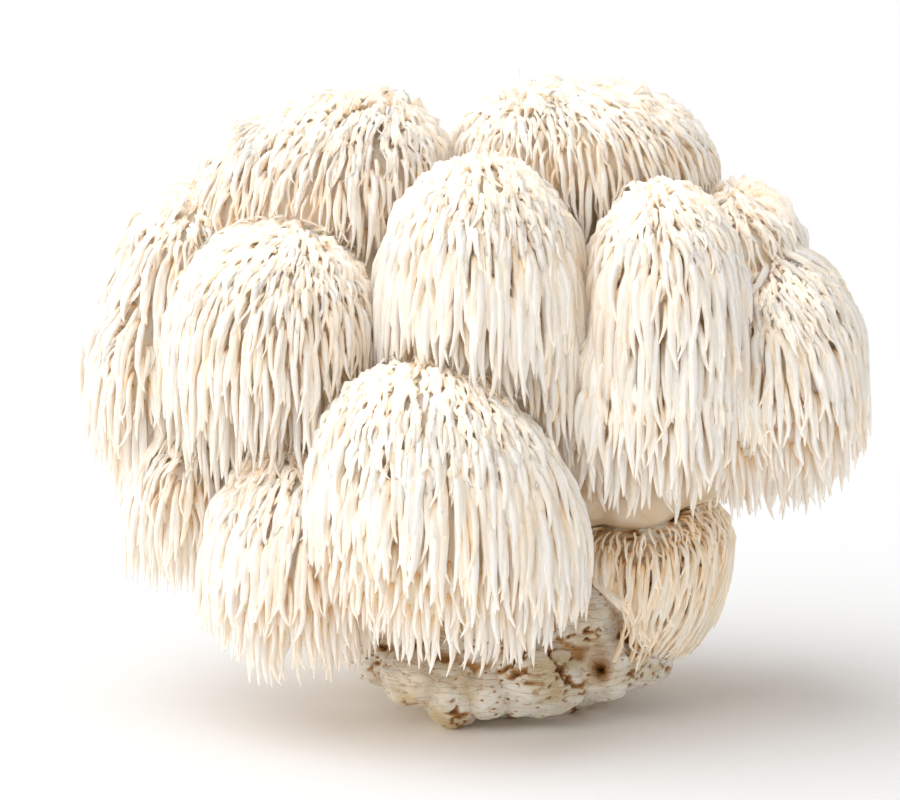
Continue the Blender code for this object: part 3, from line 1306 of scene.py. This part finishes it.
@dataclass
class Foot:
    """The bare foot: lumps, cracks that run across, small pits, one dark hole, and a flat cut.

    Attributes:
        lobes: its forms.
        grid: how fine it is fused, in mm.
        top: where it is cut off, out of sight.
        level_enough: a face that is this level is part of a cut.
        crack_depth: how deep a crack is, in mm.
        crack_size: how far apart cracks are each way.
        crack_bend: how much they wind.
        crack_edge: how sharp they are.
        pit_depth: how deep a pit is.
        pit_size: how far apart pits are each way.
        pit_edge: how small they are against that.
        wrinkle: how high a wrinkle is.
        wrinkle_size: how far apart wrinkles are.
        unevenness: how far a lump bulges or sinks.
        uneven_size: how far apart such bulges are.
        hollow_reach: how many neighbours away a cleft is looked for.
        hollow_shade: how much painted shade a cleft gets for each mm.
        hollow_most: the most that it is.
        crack_stain: how much a crack is stained.
        pit_stain: the same of a pit.
        halo_stain: the same of the skin round the hole.
        hole: where the hole is.
        hole_form: how round it is each way.
        hole_radius: how wide it is.
        hole_edge: how steep its edge is.
        hole_depth: how deep it is.
        halo_radius: how wide the sunk skin round it is.
        halo_depth: how deep that is.
        cut_edge: how far above the cut the skin keeps to its shape.
    """

    lobes: tuple[Lobe, ...]
    grid: float = 0.75
    top: float = 40.0
    level_enough: float = 0.999
    crack_depth: float = 1.1
    crack_size: tuple[float, float, float] = (5.0, 5.0, 1.9)
    crack_bend: float = 0.45
    crack_edge: float = 8.0
    pit_depth: float = 0.9
    pit_size: tuple[float, float, float] = (2.1, 2.1, 1.3125)
    pit_edge: float = 3.4
    wrinkle: float = 0.45
    wrinkle_size: float = 1.7
    unevenness: float = 1.3
    uneven_size: float = 5.0
    hollow_reach: int = 24
    hollow_shade: float = 0.62
    hollow_most: float = 0.36
    crack_stain: float = 0.8
    pit_stain: float = 0.85
    halo_stain: float = 0.55
    hole: tuple[float, float, float] = (22.5, -20.5, 11.7)
    hole_form: tuple[float, float, float] = (1.0, 0.5, 0.7)
    hole_radius: float = 1.25
    hole_edge: float = 1.6
    hole_depth: float = 4.5
    halo_radius: float = 3.6
    halo_depth: float = 1.2
    cut_edge: float = 2.0

    def build(self) -> bpy.types.Object:
        """Fuses the foot's forms, trims them, and wears their skin.

        Returns:
            The foot's object.
        """
        made = Flesh("foot", self.lobes, grid=self.grid).build()
        self.trim(made.data)
        self.refine(made.data)
        self.wear(made.data)
        return made

    def trim(self, mesh: bpy.types.Mesh) -> None:
        """Cuts the foot flat where it left its log, and off where the heads hide it.

        Args:
            mesh: the foot's mesh.
        """
        bm = bmesh.new()
        bm.from_mesh(mesh)
        for height, up in ((0.0, -1.0), (self.top * MM, 1.0)):
            cut(bm, height, up, clear=True)
            rim = [edge for edge in bm.edges if edge.is_boundary]
            bmesh.ops.holes_fill(bm, edges=rim, sides=0)
        for face in bm.faces:
            face.smooth = abs(face.normal.z) < self.level_enough
        bm.to_mesh(mesh)
        bm.free()

    def refine(self, mesh: bpy.types.Mesh) -> None:
        """Makes the faces round the hole small enough for it.

        Args:
            mesh: the foot's mesh.
        """
        bm = bmesh.new()
        bm.from_mesh(mesh)
        middle = Vector(self.hole) * MM
        for reach in (self.halo_radius, self.halo_radius * 0.7):
            near = [
                edge
                for edge in bm.edges
                if all((end.co - middle).length < reach * MM for end in edge.verts)
            ]
            bmesh.ops.subdivide_edges(bm, edges=near, cuts=1, use_grid_fill=True)
        bm.to_mesh(mesh)
        bm.free()

    def wear(self, mesh: bpy.types.Mesh) -> None:
        """Sinks the cracks, pits and the hole into the skin, and marks how deep each point is.

        Args:
            mesh: the foot's mesh.
        """
        count = len(mesh.vertices)
        places = np.empty(count * 3)
        outward = np.empty(count * 3)
        mesh.vertices.foreach_get("co", places)
        mesh.vertices.foreach_get("normal", outward)
        places = places.reshape(-1, 3) / MM
        outward = outward.reshape(-1, 3)
        cracks = np.array([self.crack(Vector(place)) for place in places])
        pits = np.array([self.pit(Vector(place)) for place in places])
        rough = wander(places, self.wrinkle_size, 5.0)[:, 0] * self.wrinkle
        uneven = wander(places, self.uneven_size, 8.0)[:, 1] * self.unevenness
        from_hole = np.linalg.norm((places - np.array(self.hole)) * self.hole_form, axis=1)
        hole = np.clip(self.hole_edge - from_hole / self.hole_radius, 0.0, 1.0)
        halo = np.clip(1.0 - from_hole / self.halo_radius, 0.0, 1.0)
        stains_and_shade = (
            cracks * self.crack_stain,
            pits * self.pit_stain,
            halo * self.halo_stain,
            # Painted shade in the clefts between lumps.
            self.hollow(mesh, places, outward),
            # Painted shade: the inside of the hole goes to black.
            hole,
        )
        sunk = cracks * self.crack_depth + pits * self.pit_depth + rough + uneven
        sunk = sunk * (1.0 - halo) + halo * self.halo_depth + hole * self.hole_depth
        free = np.clip(places[:, 2] / self.cut_edge, 0.0, 1.0)
        places -= outward * (sunk * free)[:, None]
        mesh.vertices.foreach_set("co", (places * MM).ravel())
        mark = mesh.attributes.new("pit", "FLOAT", "POINT")
        mark.data.foreach_set("value", np.maximum.reduce(stains_and_shade))
        mesh.update()

    def hollow(
        self, mesh: bpy.types.Mesh, places: np.ndarray, outward: np.ndarray
    ) -> np.ndarray:
        """How deep each point lies between the lumps round it.

        Args:
            mesh: the foot's mesh.
            places: its points in mm.
            outward: the way out of the skin at each.

        Returns:
            From nothing on a lump to about a third in a cleft.
        """
        ends = np.empty(len(mesh.edges) * 2, dtype=np.int32)
        mesh.edges.foreach_get("vertices", ends)
        one, other = ends.reshape(-1, 2).T
        smooth = places.copy()
        total = np.bincount(np.concatenate((one, other)), minlength=len(places))[:, None]
        for _ in range(self.hollow_reach):
            around = np.zeros_like(smooth)
            np.add.at(around, one, smooth[other])
            np.add.at(around, other, smooth[one])
            smooth = 0.5 * smooth + 0.5 * around / total
        sunk = ((smooth - places) * outward).sum(axis=1)
        return np.clip(sunk * self.hollow_shade, 0.0, self.hollow_most)

    def crack(self, place: Vector) -> float:
        """How much a crack that runs across is sunk here.

        Args:
            place: the point in mm.

        Returns:
            From nothing on the skin to one at the crack's bottom.
        """
        stretched = Vector(part / size for part, size in zip(place, self.crack_size))
        bent = stretched + noise.noise_vector(place / 4.0) * self.crack_bend
        ridge = 1.0 - abs(noise.noise(bent)) * self.crack_edge
        gate = noise.noise(place / 7.0 + Vector((4.0, 1.0, 7.0))) * 2.4 + 0.5
        return max(0.0, ridge) * min(max(gate, 0.0), 1.0)

    def pit(self, place: Vector) -> float:
        """How much a small pit is sunk here.

        Args:
            place: the point in mm.

        Returns:
            From nothing on the skin to one at the pit's bottom.
        """
        stretched = Vector(part / size for part, size in zip(place, self.pit_size))
        spread = noise.voronoi(stretched)[0][0]
        gate = noise.noise(place / 6.0 + Vector((9.0, 3.0, 2.0))) * 2.2 + 0.3
        return max(0.0, 1.0 - spread * self.pit_edge) * min(max(gate, 0.0), 1.0)


@dataclass
class Studio:
    """A pale floor, soft lights and the camera.

    Attributes:
        floor_size: how wide the floor is, in metres.
        aim: what the camera looks at.
        distance: how far from it the camera stands.
        elevation: how many degrees above level.
        field: how much width it sees there, in metres.
        bounces: how often light passes from spine to spine.
        room: how bright the room is.
        key: how bright the light from the upper left is.
        key_breadth: how broad it is, in degrees.
        key_from: where it comes from.
    """

    floor_size: float = 6.0
    aim: tuple[float, float, float] = (-0.0053, 0.0, 0.0590)
    distance: float = 0.8
    elevation: float = 8.0
    field: float = 0.1698
    bounces: int = 10
    room: float = 0.5
    key: float = 2.4
    key_breadth: float = 100.0
    key_from: tuple[float, float, float] = (-0.85, -0.15, 0.88)

    def build(self) -> None:
        """Sets up the whole studio."""
        self.add_floor()
        self.add_camera()
        self.add_lights()
        bpy.context.scene.cycles.diffuse_bounces = self.bounces
        bpy.context.scene.cycles.max_bounces = self.bounces + 6
        view = bpy.context.scene.view_settings
        view.view_transform = "Standard"
        view.look = "None"

    def add_floor(self) -> None:
        """A pale floor, level with the cut."""
        bm = bmesh.new()
        bmesh.ops.create_grid(bm, x_segments=1, y_segments=1, size=self.floor_size / 2.0)
        mesh = bpy.data.meshes.new("floor")
        bm.to_mesh(mesh)
        bm.free()
        floor = stand("floor", mesh)
        # Studio paper, matt and nearly white: it shows only the soft shadow.
        material, graph, shader = new_material("floor_white")
        graph.feed(shader, Base_Color=(0.98, 0.98, 0.98, 1.0), Roughness=0.9)
        mesh.materials.append(material)

    def add_camera(self) -> None:
        """A long lens, a little above level, as in the photograph."""
        data = bpy.data.cameras.new("camera")
        data.sensor_width = 36.0
        data.lens = data.sensor_width * self.distance / self.field
        data.clip_start = 0.01
        camera = stand("camera", data)
        tilt = math.radians(self.elevation)
        back = Vector((0.0, -math.cos(tilt), math.sin(tilt)))
        camera.location = Vector(self.aim) + back * self.distance
        camera.rotation_euler = (math.pi / 2.0 - tilt, 0.0, 0.0)
        bpy.context.scene.camera = camera

    def add_lights(self) -> None:
        """A bright room, and a broad soft light from the upper left."""
        world = bpy.data.worlds.new("studio")
        bpy.context.scene.world = world
        world.use_nodes = True
        sky = world.node_tree.nodes["Background"]
        sky.inputs["Color"].default_value = (1.0, 1.0, 1.0, 1.0)
        sky.inputs["Strength"].default_value = self.room
        data = bpy.data.lights.new("key", "SUN")
        data.energy = self.key
        data.angle = math.radians(self.key_breadth)
        light = stand("key", data)
        light.rotation_euler = Vector(self.key_from).to_track_quat("Z", "Y").to_euler()


class Group(Enum):
    """Neighbouring heads whose spines share a mesh."""

    FRONT_LOW = ("front_low", "front_left_low")
    FRONT_LEFT = ("front_left", "left_shoulder", "left_upper", "left", "left_low")
    FRONT_MIDDLE = ("front_middle", "front_middle_low")
    FRONT_RIGHT = ("front_right", "front_right_low", "right", "right_low")
    RIGHT = ("right_upper", "right_shoulder")
    TOP = ("top_left", "top_left_inner", "top_left_outer", "top_right", "top_right_inner")
    BACK_LEFT = ("back_left", "back_left_low", "back_middle")
    BACK_RIGHT = ("back_right", "back_right_low", "back_far_right", "back_top")
    TIER = ("skirt", "apron")


# Forms that aren't fused into the flesh, and where the heads of the back begin, in mm.
BARE = ("apron", "ledge", "skirt")
BACK_FROM = 11.0

FINE_HEADS = ("front_left", "left_shoulder", "left_upper", "left", "left_low", "right_shoulder")


def habit_of(name: str) -> Habit:
    """The growth habit of a head, by its name."""
    if name in Group.TIER.value:
        return TIER_HABIT
    return FINE_HABIT if name in (*FINE_HEADS, *Group.TOP.value) else Habit()


# How many mm the flesh lies inside the apron, the core and the foot's underside.
UNDER_APRON = 1.5
UNDER_HEADS = 3.0
UNDER_FOOT = 6.0


def flesh_under() -> dict[str, Lobe]:
    """The flesh inside every head, with the bare forms.

    Returns:
        The forms by name.
    """
    flesh = {}
    for name, head in HEADS.items():
        habit = habit_of(name)
        flesh[name] = head.shrunk(habit.stand_off, habit.crown_stand_off, habit.fringe)
    flesh["apron"] = APRON.shrunk(UNDER_APRON, UNDER_APRON, UNDER_APRON)
    flesh["core"] = CORE.shrunk(UNDER_HEADS, UNDER_HEADS, UNDER_HEADS)
    flesh["ledge"] = LEDGE
    flesh["foot"] = FOOT["middle"].shrunk(UNDER_APRON, UNDER_APRON, UNDER_FOOT)
    return flesh


def dress(made: bpy.types.Object, material: bpy.types.Material) -> bpy.types.Object:
    """Gives a piece its material and ties it to the frame.

    Args:
        made: the piece.
        material: its finish.

    Returns:
        The piece.
    """
    made.data.materials.clear()
    made.data.materials.append(material)
    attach(made, BODY)
    log.info("%s: %d faces", made.name, len(made.data.polygons))
    return made


def main() -> None:
    """Builds the mushroom and its studio."""
    logging.basicConfig(level=logging.INFO, format="%(message)s")
    noise.seed_set(NOISE_SEED)
    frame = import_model()
    log.info("solids in the frame: %d", len(frame["nodes"]))
    flesh = flesh_under()
    hidden = tuple(lobe for name, lobe in flesh.items() if name not in BARE)
    under = Flesh("flesh", hidden).build()
    # The flesh under the coat shows only through its gaps; its warm tint matches the spines'
    # painted warm shade there.
    dress(under, FleshFinish("flesh_warm_tan").build())
    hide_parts(NODE)
    foot = Foot((*FOOT.values(), flesh["skirt"])).build()
    dress(foot, FootFinish("foot_weathered_skin").build())
    ledge = Flesh("ledge", LEDGES, grid=1.0).build()
    smooth = FleshFinish("ledge_smooth_flesh", "EEDFC8", "DEC59D", (6.25, 6.25, 6.25), 0.3)
    dress(ledge, smooth.build())
    fresh = SpineFinish("spines_fresh_cream").build()
    crown = SpineFinish(
        "spines_crown_white", "FCEBD4", "FEF5E8", "FFFAF4", "FFFDFA", 0.9, 2.4
    ).build()
    # The lower tier is a yellower cream; its amber deep in the coat is painted warm shade.
    tier_cream_and_shade = SpineFinish("spines_lower_tier", "E0B274", "F3DAB2", "FBEFDC", "FDF8EE").build()
    for seed, group in enumerate(Group, start=11):
        habits = {name: habit_of(name) for name in group.value}
        coat = SpineCoat(f"spines_{group.name.lower()}", habits, flesh, seed).build()
        dress(coat, tier_cream_and_shade if group is Group.TIER else fresh)
    for seed, side in enumerate(("front", "back"), start=31):
        habits = {
            name: CROWN_HABIT
            for name, head in HEADS.items()
            if name != "skirt" and (head.y > BACK_FROM) == (side == "back")
        }
        coat = SpineCoat(f"crowns_{side}", habits, flesh, seed, CROWN_SHAPE).build()
        dress(coat, crown)
    Studio().build()


if __name__ == "__main__":
    main()
